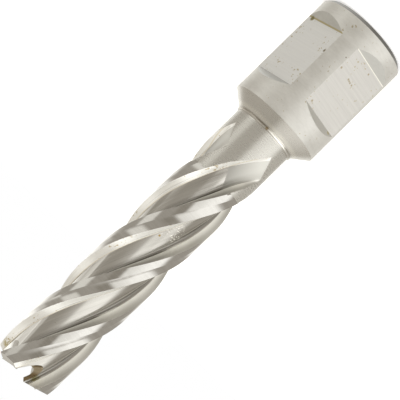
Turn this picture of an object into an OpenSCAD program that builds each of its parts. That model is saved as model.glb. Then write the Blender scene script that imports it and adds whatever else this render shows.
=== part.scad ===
// Annular cutter with a side-lock shank and two clamping flats, ground from one piece of tool steel.
// The origin is the centre of the shank's end face and +Z runs up the axis to the teeth.
// +X points midway between the two flats. Lengths are in millimetres and angles in degrees.

/* [Shank] */
// Diameter of the shank
shank_d = 19.05; // [18:0.05:32]
// Height of the shank's straight side, up to the edge of the shoulder
shank_len = 23.25; // [21:0.05:60]
// Chamfer round the end of the shank
end_chamfer = 0.8; // [0.3:0.1:1.5]
// Depth of each flat below the shank's side
flat_depth = 1.58; // [1:0.02:2.2]
// Height of the lower end of the flats' floor
flat_from = 4.75; // [4:0.05:6]
// Length of the flats' floor
flat_len = 13.15; // [8:0.05:14]
// Slope of the flats' end walls
flat_end_slope = 45; // [40:1:60]

/* [Neck] */
// Diameter of the plain neck
neck_d = 12.66; // [11.5:0.02:13]
// Radius of the bead turned where the shoulder meets the neck
bead_r = 0.3; // [0.2:0.05:0.5]

/* [Cutter] */
// Length from the end of the shank to the points of the teeth
overall_len = 87.7; // [75:0.1:120]
// Diameter across the teeth at the tip
cut_d = 13; // [12.9:0.05:16]
// How much thinner the lands are at their lower end than at the tip
back_taper = 0.12; // [0:0.01:0.2]
// Length of the ground lands, down from the tip
land_len = 49.1; // [30:0.1:55]

/* [Flutes] */
// Number of flutes, and so of teeth
flute_count = 4; // [3:1:5]
// Height gained by one full turn of a flute
lead = 66; // [50:1:100]
// Direction of the first cutting edge at the height of the teeth's points
tooth_angle = 49.5; // [0:0.1:90]
// Share of the pitch that the flute takes, from the cutting edge to the heel
flute_share = 0.655; // [0.5:0.005:0.7]
// Share of the pitch that the clearance behind the margin takes
clearance_share = 0.19; // [0.1:0.01:0.22]
// Depth of the clearance behind the margin
clearance = 0.06; // [0.04:0.01:0.1]
// Radius of the flute's floor at the foot of the wall under the cutting edge
floor_r = 4.25; // [4.1:0.05:4.6]
// How much farther out the floor lies at the foot of the heel
floor_rise = 0.83; // [0:0.01:1]
// Share of the flute that the curved wall under the cutting edge takes
rake_share = 0.2; // [0.15:0.01:0.3]
// Share of the flute that the wall under the heel takes
heel_share = 0.1; // [0.06:0.01:0.2]
// Height at which the flutes run out on the cutting side
runout_from = 33.2; // [31:0.1:36]
// How much lower the flutes run out on the heel side
runout_skew = 4.5; // [0:0.1:4.6]
// Length of the ramp up to the run-out
runout_ramp = 6; // [3:0.1:10]
// How much narrower the flutes are at the run-out
runout_narrowing = 0.2; // [0:0.01:0.3]

/* [Teeth] */
// Radius at which each tooth's end comes to its point
point_r = 4.3; // [4:0.05:5]
// How far the point lies in front of the cutting edge
point_lead = 13.9; // [8:0.1:18]
// Slope of the tooth's end outside the point, falling away behind the edge
outer_slope = 16.6; // [8:0.1:20]
// Direction in which that slope falls, from the radius through the point
outer_turn = -56; // [-75:1:-40]
// Slope of the tooth's end inside the point, falling towards the bore
inner_slope = 32; // [20:1:40]
// Radius of the root of the gullet in front of each tooth
gullet_r = 1.17; // [0.9:0.01:1.3]
// Depth of the middle of the gullet's root below the point
gullet_drop = 2.95; // [2.5:0.05:3.5]
// How far the gullet's root lies in front of the cutting edge
gullet_lead = 11.9; // [9:0.1:15]
// How far the gullet turns back from the radius on its way out
gullet_turn = -44; // [-50:1:-30]
// How steeply the gullet falls on its way out
gullet_dip = 39.1; // [30:0.1:42]
// Lean of the gullet's wall under the cutting edge
gullet_rake = 25.5; // [15:0.5:35]
// Lean of the gullet's wall on the back of the tooth in front
gullet_back = 38; // [35:0.5:50]

/* [Bore] */
// Diameter of the pilot-pin bore through the shank
pilot_d = 6.4; // [6:0.05:6.8]
// Diameter of the bore that takes the cut core
core_d = 7; // [6.9:0.05:7.4]
// Height at which the pilot-pin bore opens into the core bore
core_from = 30; // [25:0.5:40]
// Chamfer round the mouth of the pilot-pin bore
mouth_chamfer = 0.5; // [0.2:0.1:1]

/* [Hidden] */
$fn = 96;
shank_r = shank_d / 2;
neck_r = neck_d / 2;
cut_r = cut_d / 2;
land_r = cut_r - back_taper / 2;
land_from = overall_len - land_len;
shoulder_top = shank_len + shank_r - neck_r;
pitch = 360 / flute_count;
flute_angle = pitch * flute_share;
rake_angle = flute_angle * rake_share;
heel_angle = flute_angle * heel_share;
heel_floor_r = floor_r + floor_rise;
clear_r = land_r - clearance;
// The flute tools reach this far outside the lands
outside_r = cut_r + 1;
// The flutes' run-out fades to this radius, which is just clear of the neck
fade_r = cut_r + 0.05;
// Each ring of a flute tool turns this far from the last, on the ramp and above it
ramp_step = 5;
flute_step = 10;
// The space above a tooth's end stops this far in front of its point, in the open gullet
end_lead = 18;
ramp_bottom = runout_from - runout_skew - 0.8;
ramp_top = runout_from + runout_ramp;

// The turned blank: shank, shoulder, bead, neck and slightly tapered lands.
module blank() {
    rotate_extrude() {
        polygon([
            [0, 0],
            [shank_r - end_chamfer, 0],
            [shank_r, end_chamfer],
            [shank_r, shank_len],
            [neck_r, shoulder_top],
            [neck_r, land_from],
            [land_r, land_from],
            [cut_r, overall_len],
            [0, overall_len]
        ]);
        translate([neck_r, shoulder_top])
            circle(r = bead_r);
    }
}

// One clamping flat on the +X side, with end walls that slope up to the shank's side.
module flat_tool() {
    floor_x = shank_r - flat_depth;
    rise = flat_depth + 1;
    run = rise / tan(flat_end_slope);
    translate([0, shank_r, 0])
        rotate([90, 0, 0])
            linear_extrude(height = shank_d)
                polygon([
                    [floor_x, flat_from],
                    [floor_x + rise, flat_from - run],
                    [floor_x + rise, flat_from + flat_len + run],
                    [floor_x, flat_from + flat_len]
                ]);
}

// The pilot-pin bore, its chamfered mouth and the wider bore for the core.
module bores() {
    translate([0, 0, -1])
        cylinder(d = pilot_d, h = core_from + 2);
    translate([0, 0, -mouth_chamfer])
        cylinder(r1 = pilot_d / 2 + 2 * mouth_chamfer, r2 = pilot_d / 2, h = 2 * mouth_chamfer);
    translate([0, 0, core_from])
        cylinder(d = core_d, h = overall_len);
}

// The flute's section as [angle from the cutting edge, radius]: the curved wall under the edge,
// the floor, the heel, the clearance behind it, and back round the outside.
rake_points = 4;
floor_points = 6;
flute_depth = land_r - floor_r;
function rake_radius(share) = floor_r + flute_depth * pow(1 - share, 2.2);
flute_section = concat(
    [[-rake_angle / 2, outside_r]],
    [for (i = [1 : rake_points]) [rake_angle * i / rake_points, rake_radius(i / rake_points)]],
    [for (i = [1 : floor_points])
        [rake_angle + (flute_angle - heel_angle - rake_angle) * i / floor_points,
            floor_r + floor_rise * i / floor_points]],
    [for (i = [0 : 2]) [flute_angle + pitch * clearance_share * i / 2, clear_r]],
    [for (i = [3 : -1 : 1])
        [-rake_angle / 2 + (flute_angle + pitch * clearance_share + rake_angle / 2) * i / 3, outside_r]]
);

// Heights of the rings that make up a flute tool: close together on the ramp, wider above it.
tool_top = overall_len + 1;
ramp_rings = ceil((ramp_top - ramp_bottom) / lead * 360 / ramp_step);
flute_rings = ceil((tool_top - ramp_top) / lead * 360 / flute_step);
ring_heights = concat(
    [for (i = [0 : ramp_rings - 1]) ramp_bottom + (ramp_top - ramp_bottom) * i / ramp_rings],
    [for (i = [0 : flute_rings]) ramp_top + (tool_top - ramp_top) * i / flute_rings]
);

// How far the run-out has faded the flute at a height: 0 at full depth, 1 where it is gone.
function fade(angle, z) =
    let (low = runout_from - runout_skew * max(0, min(1, angle / flute_angle)))
    max(0, min(1, (low + runout_ramp - z) / runout_ramp));

// One point of the section, faded and turned for its height.
function flute_point(p, z) =
    let (
        f = fade(p.x, z),
        a = p.x * (1 - runout_narrowing * f) + (z - overall_len) / lead * 360,
        r = p.y > cut_r ? p.y : fade_r - (fade_r - p.y) * (1 - f)
    )
    [r * cos(a), r * sin(a), z];

// The tool that cuts one flute, as rings of the section joined from the run-out to the tip.
module flute_tool() {
    n = len(flute_section);
    rings = len(ring_heights);
    points = [for (z = ring_heights) for (p = flute_section) flute_point(p, z)];
    sides = [
        for (k = [0 : rings - 2])
            for (i = [0 : n - 1])
                let (j = (i + 1) % n)
                each [
                    [k * n + i, k * n + j, (k + 1) * n + i],
                    [k * n + j, (k + 1) * n + j, (k + 1) * n + i]
                ]
    ];
    bottom = [for (i = [n - 1 : -1 : 0]) i];
    top = [for (i = [0 : n - 1]) (rings - 1) * n + i];
    polyhedron(points = points, faces = concat([bottom, top], sides), convexity = 6);
}

// The gullet in front of one tooth: a slot with a round root that falls as it passes out through the wall.
module gullet_tool() {
    reach = cut_r - heel_floor_r + 3;
    inner = 3.5 * (heel_floor_r - core_d / 2);
    rake = [sin(gullet_rake), cos(gullet_rake)];
    back = [sin(gullet_back), cos(gullet_back)];
    length = 3 * gullet_drop;
    rotate([0, 0, gullet_lead])
        translate([heel_floor_r, 0, overall_len - gullet_drop])
            rotate([0, 0, gullet_turn])
                rotate([0, 90 + gullet_dip, 0])
                    translate([0, 0, -inner])
                        linear_extrude(height = inner + reach)
                            rotate([0, 0, 90]) {
                                circle(r = gullet_r);
                                polygon([
                                    gullet_r * [-rake.y, rake.x],
                                    gullet_r * [-rake.y, rake.x] + length * rake,
                                    gullet_r * [back.y, -back.x] + length * back,
                                    gullet_r * [back.y, -back.x]
                                ]);
                            }
}

// The space above one tooth's end: the sector between the gullets on either side of it, above
// the two slopes that fall from its point.
module end_tool() {
    side = 2 * cut_d;
    for (slope = [[outer_slope, outer_turn], [inner_slope, 180]])
        intersection() {
            rotate([0, 0, point_lead + end_lead - pitch])
                translate([0, 0, overall_len - gullet_drop])
                    linear_extrude(height = 2 * gullet_drop)
                        polygon([
                            [0, 0],
                            for (share = [0, 0.5, 1]) side * [cos(pitch * share), sin(pitch * share)]
                        ]);
            rotate([0, 0, point_lead])
                translate([point_r, 0, overall_len])
                    rotate([0, slope[0], slope[1]])
                        translate([-side, -side, 0])
                            cube(2 * side);
        }
}

module annular_cutter() {
    color([0.79, 0.77, 0.74])
        difference() {
            blank();
            for (side = [-45, 45])
                rotate([0, 0, side])
                    flat_tool();
            for (i = [0 : flute_count - 1])
                rotate([0, 0, tooth_angle + i * pitch]) {
                    flute_tool();
                    gullet_tool();
                    end_tool();
                }
            bores();
        }
}

annular_cutter();
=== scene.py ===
import math
import bpy
from mathutils import Euler, Matrix, Vector


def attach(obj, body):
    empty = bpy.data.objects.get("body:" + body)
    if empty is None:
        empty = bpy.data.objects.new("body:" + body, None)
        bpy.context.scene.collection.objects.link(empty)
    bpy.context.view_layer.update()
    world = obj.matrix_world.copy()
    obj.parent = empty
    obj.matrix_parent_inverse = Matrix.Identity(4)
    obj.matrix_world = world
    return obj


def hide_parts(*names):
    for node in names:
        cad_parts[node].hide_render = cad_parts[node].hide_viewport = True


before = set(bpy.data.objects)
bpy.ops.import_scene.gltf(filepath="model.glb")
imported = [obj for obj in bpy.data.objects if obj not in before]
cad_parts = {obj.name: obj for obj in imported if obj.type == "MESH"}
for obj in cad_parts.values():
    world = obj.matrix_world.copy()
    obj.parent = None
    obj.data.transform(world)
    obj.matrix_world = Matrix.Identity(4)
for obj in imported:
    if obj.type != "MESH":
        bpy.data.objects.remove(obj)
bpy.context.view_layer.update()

# Fluted stem: the front of the one-piece tool-steel bar, ground round. Four helical flutes are ground
# into it with a shaped wheel that lifts out towards the neck, and each land is cleared behind its margin.
# Sizes are in millimetres, heights from the shank's end, and angles in degrees round from a cutting edge.
MM = 0.001
TIP = 87.7
TIP_R = 6.5
NECK_R = 6.33
NECK_FOOT = 26.4
LAND_R = 6.44
LAND_FOOT = 38.6
LAND_STEP = 0.03
FLUTES = 4
PITCH = 360 / FLUTES
LEAD = 66.0
TOOTH_ANGLE = 49.5
RAKE_FOOT = 6.0
RAKE_END = 12.0
RAKE_CURVE = 2.2
HEEL_FOOT = 51.5
HEEL = 59.0
MARGIN = 76.0
FLOOR_R = 4.25
HEEL_FLOOR_R = 5.08
HEEL_R = 6.40
RUNOUT = 33.2
RUNOUT_SKEW = 4.5
RUNOUT_RAMP = 6.0
RUNOUT_NARROWING = 0.2
RUNOUT_CURVE = 1.6
FINE_RINGS_TOP = 41.0


def spread(start, end, count):
    """Even steps from a start towards an end, which is left out."""
    return [start + (end - start) * i / count for i in range(count)]


def share(value, low, high):
    """How far a value is from low to high, from 0 to 1."""
    return min(1.0, max(0.0, (value - low) / (high - low)))


def polar(radius, angle, height):
    turn = math.radians(angle)
    return Vector((radius * math.cos(turn), radius * math.sin(turn), height)) * MM


def chord_radius(angle, start, start_r, end, end_r):
    """Radius at which a straight line between two points of the section is met."""
    a, b, turn = math.radians(start), math.radians(end), math.radians(angle)
    ax, ay, bx, by = start_r * math.cos(a), start_r * math.sin(a), end_r * math.cos(b), end_r * math.sin(b)
    return (ax * by - ay * bx) / ((by - ay) * math.cos(turn) - (bx - ax) * math.sin(turn))


def section_radius(angle):
    """The section of one flute and its land: curved rake wall, sloping floor, heel, cleared land, margin."""
    if angle < RAKE_END:
        return FLOOR_R + (LAND_R - FLOOR_R) * (1 - angle / RAKE_END) ** RAKE_CURVE
    if angle < HEEL_FOOT:
        return FLOOR_R + (HEEL_FLOOR_R - FLOOR_R) * (angle - RAKE_END) / (HEEL_FOOT - RAKE_END)
    if angle < HEEL:
        return chord_radius(angle, HEEL_FOOT, HEEL_FLOOR_R, HEEL, HEEL_R)
    if angle < MARGIN:
        return chord_radius(angle, HEEL, HEEL_R, MARGIN, LAND_R)
    return LAND_R


def stem_point(column, ring):
    """Where one column of the section goes at one ring, with the ring skewed to follow the run-outs."""
    flute, angle = divmod(column, PITCH)
    skew = -RUNOUT_SKEW * (share(angle, 0, HEEL) - share(angle, HEEL, PITCH))
    height = ring + skew * share(ring, NECK_FOOT, RUNOUT) * (1 - share(ring, RUNOUT, LAND_FOOT))
    low = RUNOUT - RUNOUT_SKEW * share(angle, 0, HEEL)
    fade = 1 - share(height, low, low + RUNOUT_RAMP)
    radius = section_radius(angle)
    if angle < HEEL and fade > 0:
        radius = NECK_R - (NECK_R - min(radius, NECK_R)) * (1 - fade ** RUNOUT_CURVE)
    if height < LAND_FOOT:
        radius = min(radius, NECK_R) if angle < HEEL else NECK_R
    if radius > NECK_R:
        radius += (TIP_R - LAND_R) * share(height, LAND_FOOT, TIP)
    narrow = RUNOUT_NARROWING * fade
    if angle >= HEEL:
        narrow *= (PITCH - angle) / (PITCH - HEEL) * HEEL / angle
    turn = flute * PITCH + angle * (1 - narrow) + TOOTH_ANGLE + (height - TIP) / LEAD * 360
    return polar(radius, turn, height)


section = (spread(0, RAKE_END, 12) + spread(RAKE_END, HEEL_FOOT, 20) + spread(HEEL_FOOT, HEEL, 4)
           + spread(HEEL, MARGIN, 8) + spread(MARGIN, PITCH, 6))
columns = [flute * PITCH + angle for flute in range(FLUTES) for angle in section]
rings = (spread(NECK_FOOT, RUNOUT, 20) + spread(RUNOUT, LAND_FOOT - LAND_STEP, 28) + [LAND_FOOT - LAND_STEP]
         + spread(LAND_FOOT, FINE_RINGS_TOP, 12) + spread(FINE_RINGS_TOP, TIP, 128) + [TIP])

bpy.ops.object.select_all(action="DESELECT")
bpy.ops.mesh.primitive_circle_add(vertices=len(columns), radius=1, fill_type="NOTHING", location=(0, 0, 0))
cutter = bpy.context.object
cutter.name = "cutter"
sweep = cutter.modifiers.new("rings", "SCREW")
sweep.angle = 0
sweep.screw_offset = len(rings) - 1
sweep.steps = sweep.render_steps = len(rings) - 1
bpy.ops.object.modifier_apply(modifier=sweep.name)
places = []
for vertex in cutter.data.vertices:
    around = math.degrees(math.atan2(vertex.co.y, vertex.co.x)) / 360 * len(columns)
    column = columns[round(around) % len(columns)]
    ring = rings[round(vertex.co.z)]
    places.append((column % PITCH, ring))
    vertex.co = stem_point(column, ring)


def add_node(tree, kind, sockets=None, **settings):
    """Adds a shader node, with values set or other nodes linked on its sockets."""
    node = tree.nodes.new("ShaderNode" + kind)
    for name, value in settings.items():
        setattr(node, name, value)
    for name, value in (sockets or {}).items():
        if isinstance(value, bpy.types.NodeSocket):
            tree.links.new(value, node.inputs[name])
        else:
            node.inputs[name].default_value = value
    return node


def calculate(tree, operation, *values):
    return add_node(tree, "Math", dict(enumerate(values)), operation=operation).outputs[0]


def ramp(tree, value, start, end, low=0.0, high=1.0):
    """A straight slope from low, where the value is start, to high, where it is end."""
    sockets = {"Value": value, "From Min": start, "From Max": end, "To Min": low, "To Max": high}
    return add_node(tree, "MapRange", sockets).outputs[0]


def soft_step(tree, value, start, end):
    """A soft slope from 0, where the value is start, to 1, where it is end."""
    sockets = {"Value": value, "From Min": start, "From Max": end}
    return add_node(tree, "MapRange", sockets, interpolation_type="SMOOTHSTEP").outputs[0]


def between(tree, value, rise, fall):
    """1 between two soft edges: it rises over the first pair of values and falls over the second."""
    edges = soft_step(tree, value, *rise), soft_step(tree, value, *fall[::-1])
    return calculate(tree, "MULTIPLY", *edges)


def mix(tree, factor, under, over):
    """One colour laid over another, as far as a factor says."""
    return add_node(tree, "Mix", {"Factor": factor, 6: under, 7: over}, data_type="RGBA").outputs[2]


def new_group(name, inputs, outputs):
    """A node group, with the sockets that it takes and gives."""
    group = bpy.data.node_groups.new(name, "ShaderNodeTree")
    for label, kind in inputs:
        group.interface.new_socket(label, in_out="INPUT", socket_type="NodeSocket" + kind)
    for label, kind in outputs:
        group.interface.new_socket(label, in_out="OUTPUT", socket_type="NodeSocket" + kind)
    return group, group.nodes.new("NodeGroupInput").outputs, group.nodes.new("NodeGroupOutput").inputs


# Untwisted place on the stem: lines along the helix stand still in it, and the angle starts at a cutting edge
outputs = [("Vector", "Vector"), ("Angle", "Float"), ("Height", "Float")]
flute_place, _, gives = new_group("flute place", [], outputs)
here = add_node(flute_place, "TexCoord").outputs["Object"]
height = add_node(flute_place, "SeparateXYZ", {0: here}).outputs["Z"]
start_turn = math.tau * TIP / LEAD - math.radians(TOOTH_ANGLE)
twist = calculate(flute_place, "MULTIPLY_ADD", height, -math.tau / (LEAD * MM), start_turn)
untwist = add_node(flute_place, "VectorRotate", {"Vector": here, "Angle": twist}, rotation_type="Z_AXIS")
axes = add_node(flute_place, "SeparateXYZ", {0: untwist.outputs[0]}).outputs
turn = calculate(flute_place, "DEGREES", calculate(flute_place, "ARCTAN2", axes["Y"], axes["X"]))
flute_place.links.new(untwist.outputs[0], gives["Vector"])
flute_place.links.new(calculate(flute_place, "FLOORED_MODULO", turn, PITCH), gives["Angle"])
flute_place.links.new(height, gives["Height"])

# Grinding lines: fine and coarse streaks over a stretched place
grinding, takes, gives = new_group("grinding lines", [("Vector", "Vector")], [("Lines", "Float")])
fine_streaks = {"Vector": takes["Vector"], "Scale": 1.0, "Detail": 3.0, "Roughness": 0.7}
coarse_streaks = {"Vector": takes["Vector"], "Scale": 0.23, "Detail": 2.0}
fine = add_node(grinding, "TexNoise", fine_streaks).outputs[0]
coarse = add_node(grinding, "TexNoise", coarse_streaks).outputs[0]
halved = calculate(grinding, "MULTIPLY", fine, 0.5)
grinding.links.new(calculate(grinding, "MULTIPLY_ADD", coarse, 0.5, halved), gives["Lines"])

# Brown specks: small pits and rust spots scattered over ground steel
BARE_SHARE = 0.72
SPECK_CORE = 0.4
specks, takes, gives = new_group("specks", [("Scale", "Float"), ("Size", "Float")], [("Mask", "Float")])
here = add_node(specks, "TexCoord").outputs["Object"]
cells = add_node(specks, "TexVoronoi", {"Vector": here, "Scale": takes["Scale"]}).outputs
pick = add_node(specks, "SeparateColor", {0: cells["Color"]}).outputs[0]
size = calculate(specks, "MULTIPLY", takes["Size"], calculate(specks, "GREATER_THAN", pick, BARE_SHARE))
size = calculate(specks, "MULTIPLY", size, pick)
core = calculate(specks, "MULTIPLY", size, SPECK_CORE)
specks.links.new(ramp(specks, cells["Distance"], size, core), gives["Mask"])

SPECKS_PER_METRE = 420.0
SPECK_BROWN = (0.16, 0.11, 0.06)
LINE_DEPTH = 0.02
TONE_RANGE = (0.35, 0.65)
GLOSS_RANGE = (0.3, 0.7)
GLOSS_SPREAD = 0.05
CLUSTER_SPAN = 9
FLECK_EDGE = 0.04


def steel(name, light, dark, roughness, bump, stretch, twisted=False, speck_size=0.05, metal=1.0):
    """Ground steel: streaked colour, roughness and bump along the grinding lines, with brown specks."""
    material = bpy.data.materials.new(name)
    material.use_nodes = True
    tree = material.node_tree
    shader = tree.nodes["Principled BSDF"].inputs
    shader["Metallic"].default_value = metal
    if twisted:
        here = add_node(tree, "Group", node_tree=flute_place).outputs["Vector"]
    else:
        here = add_node(tree, "TexCoord").outputs["Object"]
    along = add_node(tree, "VectorMath", {0: here, 1: stretch}, operation="MULTIPLY").outputs[0]
    lines = add_node(tree, "Group", {"Vector": along}, node_tree=grinding).outputs["Lines"]
    streaks = mix(tree, ramp(tree, lines, *TONE_RANGE), (*dark, 1), (*light, 1))
    dots = add_node(tree, "Group", {"Scale": SPECKS_PER_METRE, "Size": speck_size}, node_tree=specks)
    tree.links.new(mix(tree, dots.outputs["Mask"], streaks, (*SPECK_BROWN, 1)), shader["Base Color"])
    gloss = ramp(tree, lines, *GLOSS_RANGE, roughness - GLOSS_SPREAD, roughness + GLOSS_SPREAD)
    tree.links.new(gloss, shader["Roughness"])
    relief = add_node(tree, "Bump", {"Strength": bump, "Distance": LINE_DEPTH * MM, "Height": lines})
    tree.links.new(relief.outputs[0], shader["Normal"])
    return material


def stain(material, mask, colour, strength=1.0):
    """Lays a colour over a material's own where a mask is 1, as strongly as asked."""
    tree = material.node_tree
    base = tree.nodes["Principled BSDF"].inputs["Base Color"]
    factor = calculate(tree, "MULTIPLY", mask, strength)
    tree.links.new(mix(tree, factor, base.links[0].from_socket, (*colour, 1)), base)


def add_to(material, socket, mask, amount):
    """Raises one of a material's values by an amount where a mask is 1."""
    tree = material.node_tree
    value = tree.nodes["Principled BSDF"].inputs[socket]
    before = value.links[0].from_socket if value.links else value.default_value
    tree.links.new(calculate(tree, "MULTIPLY_ADD", mask, amount, before), value)


def flecks(material, here, scale, limit, colour, within=1.0):
    """Irregular flecks in loose clusters: a fine grain let through where a coarse one is high."""
    tree = material.node_tree
    coarse = {"Vector": here, "Scale": scale / CLUSTER_SPAN, "Detail": 1.0}
    clusters = add_node(tree, "TexNoise", coarse).outputs[0]
    grain = add_node(tree, "TexNoise", {"Vector": here, "Scale": scale, "Detail": 2.0}).outputs[0]
    both = calculate(tree, "MULTIPLY_ADD", clusters, 0.5, grain)
    peaks = soft_step(tree, both, limit, limit + FLECK_EDGE)
    mask = calculate(tree, "MULTIPLY", peaks, within)
    stain(material, mask, colour)
    return mask


def nearby(material, centre, size):
    """1 within a distance of one place on the piece, fading out over as much again."""
    tree = material.node_tree
    here = add_node(tree, "TexCoord").outputs["Object"]
    away = add_node(tree, "VectorMath", {0: here, 1: Vector(centre) * MM}, operation="DISTANCE")
    return ramp(tree, away.outputs["Value"], 2 * size * MM, size * MM)


def spot(material, centre, size, colour):
    stain(material, nearby(material, centre, size), colour)


ALONG_FLUTE = (9000, 9000, 120)
ground = steel("ground lands", light=(0.50, 0.485, 0.46), dark=(0.45, 0.435, 0.41),
               roughness=0.12, bump=0.06, stretch=(400, 400, 9000))
fluted = steel("ground flutes", light=(0.48, 0.462, 0.428), dark=(0.408, 0.392, 0.363),
               roughness=0.1, bump=0.03, stretch=ALONG_FLUTE, twisted=True)
heeled = steel("heels of the flutes", light=(0.96, 0.95, 0.915), dark=(0.88, 0.868, 0.83),
               roughness=0.3, bump=0.1, stretch=ALONG_FLUTE, twisted=True, metal=0.45)
raked = steel("rake walls", light=(0.48, 0.465, 0.425), dark=(0.42, 0.405, 0.37),
              roughness=0.34, bump=0.15, stretch=ALONG_FLUTE, twisted=True, metal=0.5)
necked = steel("ground neck", light=(0.525, 0.511, 0.474), dark=(0.512, 0.497, 0.461),
               roughness=0.28, bump=0.004, stretch=(2500, 2500, 9000), metal=0.65)
for material in (ground, fluted, heeled, necked, raked):
    cutter.data.materials.append(material)
LAND_FINISH, FLUTE_FINISH, HEEL_FINISH, NECK_FINISH, RAKE_FINISH = range(5)

# Painted shade darkens the corner under each cutting edge, which is also rougher than the floor
tree = fluted.node_tree
flute = add_node(tree, "Group", node_tree=flute_place).outputs
corner_shade = between(tree, flute["Angle"], rise=(5.8, 7.6), fall=(12.0, 24.0))
stain(fluted, corner_shade, (0.1, 0.09, 0.075), strength=0.4)
add_to(fluted, "Roughness", corner_shade, 0.22)

# A pale painted highlight along the foot of the rake wall
rake = add_node(raked.node_tree, "Group", node_tree=flute_place).outputs
foot = between(raked.node_tree, rake["Angle"], rise=(0.8, 5.2), fall=(5.2, RAKE_FOOT))
stain(raked, foot, (0.85, 0.835, 0.785))

# Brown burrs on the heels, with a straw-coloured line along their foot
heel = add_node(heeled.node_tree, "Group", node_tree=flute_place).outputs
foot = between(heeled.node_tree, heel["Angle"], rise=(50.0, 51.0), fall=(52.0, 52.8))
stain(heeled, foot, (0.72, 0.64, 0.47), strength=0.6)
flecks(heeled, heel["Vector"], scale=2300, limit=0.95, colour=(0.55, 0.46, 0.3))

# The run-outs are left satin, up to the line where the wheel began to lift, and grow paler towards the neck
LIFT = RUNOUT + RUNOUT_RAMP
lag = calculate(tree, "MULTIPLY", flute["Angle"], RUNOUT_SKEW / HEEL)
along = calculate(tree, "MULTIPLY_ADD", flute["Height"], 1 / MM, lag)
lifted = soft_step(tree, along, LIFT + 0.25, LIFT + 0.1)
stain(fluted, lifted, (0.29, 0.28, 0.255), strength=0.8)
stain(fluted, ramp(tree, along, LIFT, RUNOUT + 0.5), (0.66, 0.65, 0.61), strength=0.8)
add_to(fluted, "Roughness", lifted, 0.28)
add_to(fluted, "Metallic", lifted, -0.45)

# A sprinkle of matt pale chips and one brown spot half-way up one flute
chipped = nearby(fluted, (4.5, -1.8, 50.6), size=1.2)
chips = flecks(fluted, flute["Vector"], scale=3400, limit=0.79, colour=(1.0, 0.97, 0.88), within=chipped)
add_to(fluted, "Metallic", chips, -1.0)
spot(fluted, (4.94, -0.46, 52.78), size=0.13, colour=(0.3, 0.2, 0.07))

# Oily dirt beside the point of one tooth, and burrs at the end of another's heel
oily = nearby(fluted, (3.35, -3.1, 86.0), size=0.55)
flecks(fluted, flute["Vector"], scale=2000, limit=0.62, colour=(0.17, 0.15, 0.08), within=oily)
burred = nearby(heeled, (-0.1, 5.5, 85.2), size=0.6)
flecks(heeled, heel["Vector"], scale=4200, limit=0.78, colour=(0.52, 0.44, 0.24), within=burred)

for face in cutter.data.polygons:
    angles = [places[i][0] for i in face.vertices]
    if max(angles) - min(angles) > PITCH / 2:
        # the last column's faces close on the next cutting edge
        angles = [angle or PITCH for angle in angles]
    middle = sum(angles) / len(angles)
    ring = sum(places[i][1] for i in face.vertices) / len(angles)
    if ring < RUNOUT or middle > HEEL and ring < LAND_FOOT:
        face.material_index = NECK_FINISH
    elif middle > HEEL:
        face.material_index = LAND_FINISH
    elif middle > HEEL_FOOT:
        face.material_index = HEEL_FINISH
    elif middle > RAKE_FOOT:
        face.material_index = FLUTE_FINISH
    else:
        face.material_index = RAKE_FINISH
for edge in cutter.data.edges:
    edge.use_edge_sharp = all(places[i][0] == MARGIN for i in edge.vertices)

# Shank: the turned and ground back of the same bar, with a 45 degree shoulder and a small bead at the foot
# of the neck. Its end is chamfered, and a bore for the pilot pin opens into a wider one for the core.
SHANK_R = 9.525
SHANK_TOP = 23.25
SHANK_RINGS = [20.5 - 2.5 * ring for ring in range(8)]
END_CHAMFER = 0.8
SHOULDER_TOP = 25.9
BEAD_R = 0.3
PILOT_R = 3.2
PILOT_CHAMFER = 0.5
CORE_R = 3.5
CORE_FOOT = 30.0
NEAR = 0.01
bead = [(NECK_R + BEAD_R * math.cos(math.radians(a)), SHOULDER_TOP + BEAD_R * math.sin(math.radians(a)))
        for a in range(90, -46, -15)]
outside = [(SHANK_R, z) for z in (SHANK_TOP, *SHANK_RINGS, END_CHAMFER)] + [(SHANK_R - END_CHAMFER, 0)]
bore = [(PILOT_R + PILOT_CHAMFER, 0), (PILOT_R, PILOT_CHAMFER), (PILOT_R, CORE_FOOT),
        (CORE_R, CORE_FOOT), (CORE_R, TIP)]


def pick_points(piece, test):
    """Goes into edit mode with only the points selected whose place, in millimetres, passes a test."""
    bpy.ops.object.mode_set(mode="EDIT")
    bpy.ops.mesh.select_mode(type="VERT")
    bpy.ops.mesh.select_all(action="DESELECT")
    bpy.ops.object.mode_set(mode="OBJECT")
    for vertex in piece.data.vertices:
        vertex.select = test(vertex.co / MM)
    bpy.ops.object.mode_set(mode="EDIT")
    bpy.ops.mesh.select_mode(type="VERT")


pick_points(cutter, lambda at: at.z < NECK_FOOT + NEAR)
radius, height = NECK_R, NECK_FOOT
for next_radius, next_height in bead + outside + bore:
    bpy.ops.mesh.extrude_edges_move(TRANSFORM_OT_translate={"value": (0, 0, (next_height - height) * MM)})
    bpy.ops.transform.resize(value=(next_radius / radius, next_radius / radius, 1), center_override=(0, 0, 0))
    radius, height = next_radius, next_height
bpy.ops.object.mode_set(mode="OBJECT")
pick_points(cutter, lambda at: at.z > TIP - NEAR)
bpy.ops.mesh.bridge_edge_loops()
bpy.ops.mesh.select_all(action="SELECT")
bpy.ops.mesh.normals_make_consistent(inside=False)
bpy.ops.object.mode_set(mode="OBJECT")

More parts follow.
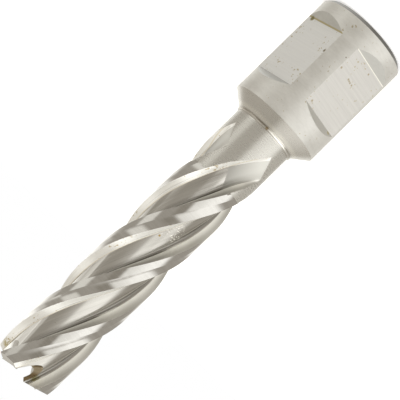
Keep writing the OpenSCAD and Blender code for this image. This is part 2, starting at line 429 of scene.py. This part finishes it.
satin = steel("satin shank", light=(0.67, 0.657, 0.625), dark=(0.58, 0.567, 0.535),
              roughness=0.4, bump=0.3, stretch=(900, 900, 2500), speck_size=0.08, metal=0.4)
turned = steel("turned shoulder", light=(0.565, 0.545, 0.505), dark=(0.545, 0.525, 0.485),
               roughness=0.28, bump=0.02, stretch=(1500, 1500, 9000))
# The end chamfer's near-black colour is painted shade
shaded_rim = steel("end chamfer in painted shade", light=(0.17, 0.165, 0.155), dark=(0.12, 0.115, 0.105),
               roughness=0.4, bump=0.3, stretch=(900, 900, 2500))
bored = steel("reamed bore", light=(0.42, 0.38, 0.31), dark=(0.30, 0.27, 0.21),
              roughness=0.35, bump=0.2, stretch=(300, 300, 6000), metal=0.4)
for material in (satin, turned, bored, shaded_rim):
    cutter.data.materials.append(material)
SHANK_FINISH, SHOULDER_FINISH, BORE_FINISH, RIM_SHADE = range(RAKE_FINISH + 1, RAKE_FINISH + 5)

# Brown pits on the shank, and a dark nick beside a flat
here = add_node(satin.node_tree, "TexCoord").outputs["Object"]
flecks(satin, here, scale=2200, limit=0.975, colour=(0.42, 0.36, 0.25))
spot(satin, (9.15, 2.3, 9.0), size=0.2, colour=(0.3, 0.27, 0.2))

# A painted pale sheen beside the bead, and a line round the bead that is dark on one side and has a painted
# highlight on the other
tree = turned.node_tree
here = add_node(tree, "TexCoord").outputs["Object"]
flat = add_node(tree, "VectorMath", {0: here, 1: (1 / MM, 1 / MM, 0)}, operation="MULTIPLY").outputs[0]
out = add_node(tree, "VectorMath", {0: flat}, operation="LENGTH").outputs["Value"]
side = add_node(tree, "SeparateXYZ", {0: flat}).outputs["Y"]
stain(turned, between(tree, out, rise=(6.7, 6.9), fall=(7.1, 7.7)), (0.86, 0.83, 0.74), strength=0.3)
line = between(tree, out, rise=(6.55, 6.58), fall=(6.63, 6.67))
dark_side = ramp(tree, side, -1.2, 0.6)
stain(turned, calculate(tree, "MULTIPLY", line, dark_side), (0.25, 0.2, 0.14), strength=0.38)
# the bright side of the line is a painted highlight
highlight_side = between(tree, side, rise=(-5.6, -4.5), fall=(-2.0, 0.2))
stain(turned, calculate(tree, "MULTIPLY", line, highlight_side), (0.9, 0.88, 0.83))
spot(turned, (6.62, -0.4, 25.95), size=0.2, colour=(0.34, 0.27, 0.18))

for face in cutter.data.polygons:
    at = face.center / MM
    if math.hypot(at.x, at.y) < CORE_R + NEAR:
        face.material_index = BORE_FINISH
    elif NEAR < at.z < END_CHAMFER:
        face.material_index = RIM_SHADE
    elif at.z < SHANK_TOP:
        face.material_index = SHANK_FINISH
    elif at.z < NECK_FOOT - NEAR:
        face.material_index = SHOULDER_FINISH

# Clamping flats: two flats milled 90 degrees apart into the side of the shank for its locking screws,
# with sloping end walls, and ground with marks across their length.
FLAT_DEPTH = 1.58
FLAT_FOOT = 4.75
FLAT_LENGTH = 13.15
FLAT_TURNS = (-45, 45)
FLAT_TOOL_RISE = FLAT_DEPTH + 0.6
FLAT_MIDDLE = FLAT_FOOT + FLAT_LENGTH / 2
milled = steel("milled flats", light=(0.65, 0.635, 0.608), dark=(0.575, 0.561, 0.537),
               roughness=0.36, bump=0.15, stretch=(250, 250, 14000), speck_size=0.08, metal=0.35)
walled = steel("end walls of the flats", light=(0.56, 0.55, 0.515), dark=(0.49, 0.48, 0.445),
               roughness=0.34, bump=0.2, stretch=(1500, 1500, 3000), metal=0.5)

# The second flat is made paler with painted light, and both have brown pits
tree = milled.node_tree
here = add_node(tree, "TexCoord").outputs["Object"]
side = add_node(tree, "SeparateXYZ", {0: here}).outputs["Y"]
stain(milled, calculate(tree, "GREATER_THAN", side, 0.0), (0.92, 0.94, 0.95), strength=0.42)
flecks(milled, here, scale=2200, limit=0.925, colour=(0.48, 0.42, 0.3))

# Scuffs from the locking screws on the first flat, and one dark nick in the edge of the second
SCUFFS = (((6.8, -4.43, 9.37), 0.14), ((6.5, -4.72, 9.45), 0.12), ((6.2, -5.02, 9.52), 0.12),
          ((5.75, -5.49, 9.52), 0.12), ((9.0, -2.24, 9.21), 0.15), ((8.5, -2.7, 17.05), 0.15),
          ((5.06, -6.17, 5.75), 0.13))
for centre, size in SCUFFS:
    spot(milled, centre, size, colour=(0.40, 0.34, 0.24))
spot(milled, (9.22, 2.02, 9.2), size=0.2, colour=(0.22, 0.19, 0.13))

# Two end walls are painted darker as painted shade: the second flat's upper one and, less so, the first
# flat's lower one
tree = walled.node_tree
here = add_node(tree, "TexCoord").outputs["Object"]
axes = add_node(tree, "SeparateXYZ", {0: here}).outputs
for beyond, strength in (("GREATER_THAN", 0.8), ("LESS_THAN", 0.35)):
    this_flat = calculate(tree, beyond, axes["Y"], 0.0)
    this_end = calculate(tree, beyond, axes["Z"], FLAT_MIDDLE * MM)
    stain(walled, calculate(tree, "MULTIPLY", this_flat, this_end), (0.33, 0.325, 0.31), strength)
spot(walled, (3.2, -8.4, 18.15), size=0.22, colour=(0.44, 0.38, 0.2))

# Swarf and oil left in the corners at the flats' lower ends: straw brown in one, pale in the other
SWARF = ((45, (0.44, 0.38, 0.22), 1.5), (-45, (0.86, 0.84, 0.77), 0.5))
for material, rise, fall, reach in ((walled, (-0.1, 0.0), (0.06, 0.16), 5.2),
                                    (milled, (-0.05, 0.0), (0.05, 0.1), 4.83)):
    tree = material.node_tree
    here = add_node(tree, "TexCoord").outputs["Object"]
    height = add_node(tree, "SeparateXYZ", {0: here}).outputs["Z"]
    low = soft_step(tree, height, (reach + 0.06) * MM, reach * MM)
    for turn, colour, width in SWARF:
        around = math.radians(turn)
        across = Vector((math.cos(around), math.sin(around), 0)) / MM
        depth = add_node(tree, "VectorMath", {0: here, 1: across}, operation="DOT_PRODUCT").outputs["Value"]
        above = calculate(tree, "SUBTRACT", depth, SHANK_R - FLAT_DEPTH)
        line = between(tree, calculate(tree, "DIVIDE", above, width), rise, fall)
        stain(material, calculate(tree, "MULTIPLY", line, low), colour)
    spot(material, (2.75, 8.49, 4.94), size=0.3, colour=(0.22, 0.19, 0.08))


def cut_away(piece, tool):
    """Cuts a tool's shape out of a piece, which takes the tool's material on the new faces."""
    bpy.ops.object.select_all(action="DESELECT")
    bpy.context.view_layer.objects.active = piece
    piece.select_set(True)
    cut = piece.modifiers.new("cut", "BOOLEAN")
    cut.operation = "DIFFERENCE"
    cut.solver = "MANIFOLD"
    cut.material_mode = "TRANSFER"
    cut.object = tool
    bpy.ops.object.modifier_apply(modifier=cut.name)
    bpy.data.objects.remove(tool)


for turn in FLAT_TURNS:
    bpy.ops.object.select_all(action="DESELECT")
    bpy.ops.mesh.primitive_cube_add(size=1, location=(0, 0, 0))
    tool = bpy.context.object
    tool.data.materials.append(milled)
    tool.data.materials.append(walled)
    for face in tool.data.polygons:
        face.material_index = 1 if abs(face.normal.z) > 0.5 else 0
    middle = Vector((SHANK_R - FLAT_DEPTH + FLAT_TOOL_RISE / 2, 0, FLAT_MIDDLE)) * MM
    for vertex in tool.data.vertices:
        # the outer side is longer by twice the rise, so that the end walls slope at 45 degrees
        length = FLAT_LENGTH + (2 * FLAT_TOOL_RISE if vertex.co.x > 0 else 0)
        vertex.co = vertex.co * Vector((FLAT_TOOL_RISE, 2 * SHANK_R, length)) * MM + middle
    tool.data.transform(Matrix.Rotation(math.radians(turn), 4, "Z"))
    cut_away(cutter, tool)

# Gullets: a round-bottomed slot ground in front of each tooth, falling as it runs out through the wall.
# The wheel scorched one of them brown, and another is cut a little deeper and further round.
GULLET_R = 1.17
GULLET_OUT = HEEL_FLOOR_R
GULLET_DROP = 2.95
GULLET_LEAD = 11.9
GULLET_TURN = -44.0
GULLET_DIP = 39.1
GULLET_RAKE = 25.5
GULLET_BACK = 38.0
GULLET_WALL = 7
GULLET_INNER = 5.5
GULLET_OUTER = 4.5
DEEP_GULLET = 1
DEEP_LEAD = GULLET_LEAD + 8
DEEP_DROP = GULLET_DROP + 0.5
SCORCHED_GULLET = 3
A_HAIR = 1e-4
backed_off = steel("backed-off tooth ends", light=(0.74, 0.73, 0.70), dark=(0.65, 0.64, 0.61),
                   roughness=0.25, bump=0.2, stretch=(3000, 3000, 3000))
scorched = steel("scorched gullets", light=(0.46, 0.39, 0.28), dark=(0.34, 0.28, 0.19),
                 roughness=0.3, bump=0.3, stretch=(3000, 3000, 3000))
first, last = -math.radians(GULLET_BACK), math.pi - math.radians(GULLET_RAKE)
wall_ends = []
for a, lean in ((first, math.radians(GULLET_BACK)), (last, math.radians(GULLET_RAKE))):
    root = GULLET_R * Vector((math.cos(a), math.sin(a)))
    wall_ends.append(root + GULLET_WALL * Vector((math.sin(lean), math.cos(lean))))
for tooth in range(FLUTES):
    bpy.ops.object.select_all(action="DESELECT")
    bpy.ops.mesh.primitive_cylinder_add(vertices=72, radius=GULLET_R, depth=GULLET_INNER + GULLET_OUTER,
                                        location=(0, 0, 0))
    tool = bpy.context.object
    tool.data.materials.append(scorched if tooth == SCORCHED_GULLET else backed_off)
    for vertex in tool.data.vertices:
        # the round root stays, and the rest opens out into two straight walls
        around = math.atan2(vertex.co.y, vertex.co.x)
        if around < -math.pi / 2 - A_HAIR:
            around += math.tau
        if first <= around <= last:
            t = (around - first) / (last - first)
            vertex.co.x, vertex.co.y = wall_ends[0] * (1 - t) + wall_ends[1] * t
        vertex.co.z += (GULLET_OUTER - GULLET_INNER) / 2
    lead, drop = (DEEP_LEAD, DEEP_DROP) if tooth == DEEP_GULLET else (GULLET_LEAD, GULLET_DROP)
    tool.data.transform(Matrix.Diagonal((MM, MM, MM, 1)))
    tool.data.transform(Matrix.Rotation(math.radians(TOOTH_ANGLE + tooth * PITCH + lead), 4, "Z")
                        @ Matrix.Translation(Vector((GULLET_OUT, 0, TIP - drop)) * MM)
                        @ Matrix.Rotation(math.radians(GULLET_TURN), 4, "Z")
                        @ Matrix.Rotation(math.radians(90 + GULLET_DIP), 4, "Y")
                        @ Matrix.Rotation(math.radians(90), 4, "Z"))
    cut_away(cutter, tool)

# Tooth ends: each tooth is ground to a point part-way along its cutting edge, from which its end
# falls away outwards behind the edge and inwards to the bore.
POINT_R = 4.3
POINT_LEAD = 13.9
END_SECTOR = 32.0
END_SLOPES = ((16.6, -56), (32, 180))
END_TOOL_R = 12
END_TOOL_HEIGHT = 6
END_TOOL_OUT = 11
END_TOOL_DROP = 1
SMOOTH_BELOW = 25
point = polar(POINT_R, POINT_LEAD, TIP)
for tooth in range(FLUTES):
    for slope, turn in END_SLOPES:
        bpy.ops.object.select_all(action="DESELECT")
        bpy.ops.mesh.primitive_cylinder_add(vertices=4, radius=END_TOOL_R * MM, depth=END_TOOL_HEIGHT * MM,
                                            location=(0, 0, 0))
        tool = bpy.context.object
        tool.data.materials.append(backed_off)
        # the square block has a corner just past the axis, from which it opens out over one tooth
        tool.data.transform(Matrix.Translation((END_TOOL_OUT * MM, 0, 0)))
        tool.data.transform(Matrix.Rotation(math.radians(END_SECTOR - PITCH / 2), 4, "Z"))
        tool.data.transform(Matrix.Translation((0, 0, (TIP - END_TOOL_DROP) * MM)))
        lean = Euler((0, math.radians(slope), math.radians(POINT_LEAD + turn)))
        facing = lean.to_matrix() @ Vector((0, 0, 1))
        bpy.ops.object.mode_set(mode="EDIT")
        bpy.ops.mesh.select_all(action="SELECT")
        bpy.ops.mesh.bisect(plane_co=point, plane_no=facing, use_fill=True, clear_inner=True)
        bpy.ops.object.mode_set(mode="OBJECT")
        tool.data.transform(Matrix.Rotation(math.radians(TOOTH_ANGLE + tooth * PITCH), 4, "Z"))
        cut_away(cutter, tool)

bpy.ops.object.select_all(action="DESELECT")
bpy.context.view_layer.objects.active = cutter
cutter.select_set(True)
bpy.ops.object.shade_smooth_by_angle(angle=math.radians(SMOOTH_BELOW), keep_sharp_edges=True)
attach(cutter, "root")
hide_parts("annular_cutter")

# Studio: a plain white floor and a white room. The light comes from the room itself, a warm grey with soft
# patches of light and shade in it. The floor takes no part in the light, and the camera sees the room white.
bpy.ops.object.select_all(action="DESELECT")
bpy.ops.mesh.primitive_plane_add(size=8, location=(0, 0, 0))
floor = bpy.context.object
floor.name = "floor"
paper = bpy.data.materials.new("white paper")
paper.use_nodes = True
shader = paper.node_tree.nodes["Principled BSDF"].inputs
shader["Base Color"].default_value = (0.9, 0.9, 0.9, 1)
shader["Roughness"].default_value = 0.9
shader["Emission Color"].default_value = (1, 1, 1, 1)
shader["Emission Strength"].default_value = 0.5
floor.data.materials.append(paper)
floor.visible_glossy = floor.visible_diffuse = floor.visible_shadow = False

ROOM_GLOW = (0.62, 0.588, 0.53)
LIGHTS = (
    # bearing fades in, fades out; tilt fades in, fades out; light added
    ((-96, -76), (-17, -5), (-25, -15), (3.5, 6.2), (0.86, 0.89, 0.90)),
    ((-96, -76), (-60, -14), (-25, -15), (3.5, 6.2), (0.42, 0.43, 0.44)),
    ((-106, -72), (-52, 34), (5.5, 11), (20, 34), (0.70, 0.72, 0.73)),
    ((-106, -72), (-24, -6), (5.5, 11), (12, 22), (0.60, 0.62, 0.63)),
    ((-168, -100), (-70, -36), (12, 36), (82, 90), (0.66, 0.68, 0.69)),
    ((43, 51), (72, 80), (-45, -35), (3, 6), (0.68, 0.70, 0.69)),
    ((56, 62), (74, 80), (9.5, 12), (14, 22), (0.5, 0.51, 0.51)),
    ((71, 76), (85, 135), (5, 9), (14, 22), (0.32, 0.33, 0.33)),
    ((71, 76), (140, 150), (5, 9), (14, 22), (0.50, 0.51, 0.51)),
    ((103, 112), (150, 160), (-4, 2), (8, 20), (0.45, 0.46, 0.46)),
    ((-112, -88), (-50, -24), (24, 34), (54, 64), (1.05, 1.07, 1.08)),
    ((-88, -68), (-58, -44), (2, 5), (7, 11), (0.5, 0.51, 0.52)),
    ((14, 40), (64, 84), (26, 36), (56, 66), (0.62, 0.63, 0.63)),
    ((115, 140), (190, 200), (-80, -60), (8, 26), (0.7, 0.72, 0.72)),
    ((-200, -190), (-166, -150), (-80, -60), (8, 26), (0.5, 0.52, 0.52)),
    ((-15, -3), (8, 20), (-18, -2), (3, 8), (-0.14, -0.14, -0.14)),
    ((-20, 15), (60, 80), (-37, -31), (-20, -14), (-0.4, -0.39, -0.38)),
    ((60, 90), (150, 170), (-100, -95), (-45, -28), (0.7, 0.72, 0.72)),
    ((-140, -110), (-25, 20), (-100, -95), (-60, -42), (0.65, 0.66, 0.66)))
world = bpy.data.worlds.new("white studio")
world.use_nodes = True
room = world.node_tree
outwards = add_node(room, "TexCoord").outputs["Generated"]
axes = add_node(room, "SeparateXYZ", {0: outwards}).outputs
bearing = calculate(room, "DEGREES", calculate(room, "ARCTAN2", axes["Y"], axes["X"]))
tilt = calculate(room, "DEGREES", calculate(room, "ARCSINE", axes["Z"]))
glow = add_node(room, "CombineXYZ", dict(enumerate(ROOM_GLOW))).outputs[0]
for bearing_in, bearing_out, tilt_in, tilt_out, colour in LIGHTS:
    across = between(room, bearing, bearing_in, bearing_out)
    reach = calculate(room, "MULTIPLY", across, between(room, tilt, tilt_in, tilt_out))
    light = add_node(room, "VectorMath", {0: colour, "Scale": reach}, operation="SCALE").outputs[0]
    glow = add_node(room, "VectorMath", {0: glow, 1: light}, operation="ADD").outputs[0]
seen = add_node(room, "LightPath").outputs["Is Camera Ray"]
room.links.new(mix(room, seen, glow, (1, 1, 1, 1)), room.nodes["Background"].inputs["Color"])
bpy.context.scene.world = world

# Camera: the photo's view, from beside the tool and close to level with its middle, with the picture
# turned so that the tip points down left.
CAMERA_PLACE = (251.626, -25.623, 67.324)
CAMERA_TURN = (-82.1072, 45.2273, -90.0792)
camera = bpy.data.objects.new("camera", bpy.data.cameras.new("camera"))
camera.data.lens = 126.36
camera.data.sensor_width = 36
turned_by = Euler([math.radians(angle) for angle in CAMERA_TURN])
camera.matrix_world = Matrix.LocRotScale(Vector(CAMERA_PLACE) * MM, turned_by, None)
bpy.context.scene.collection.objects.link(camera)
bpy.context.scene.camera = camera
bpy.context.scene.view_settings.view_transform = "Standard"
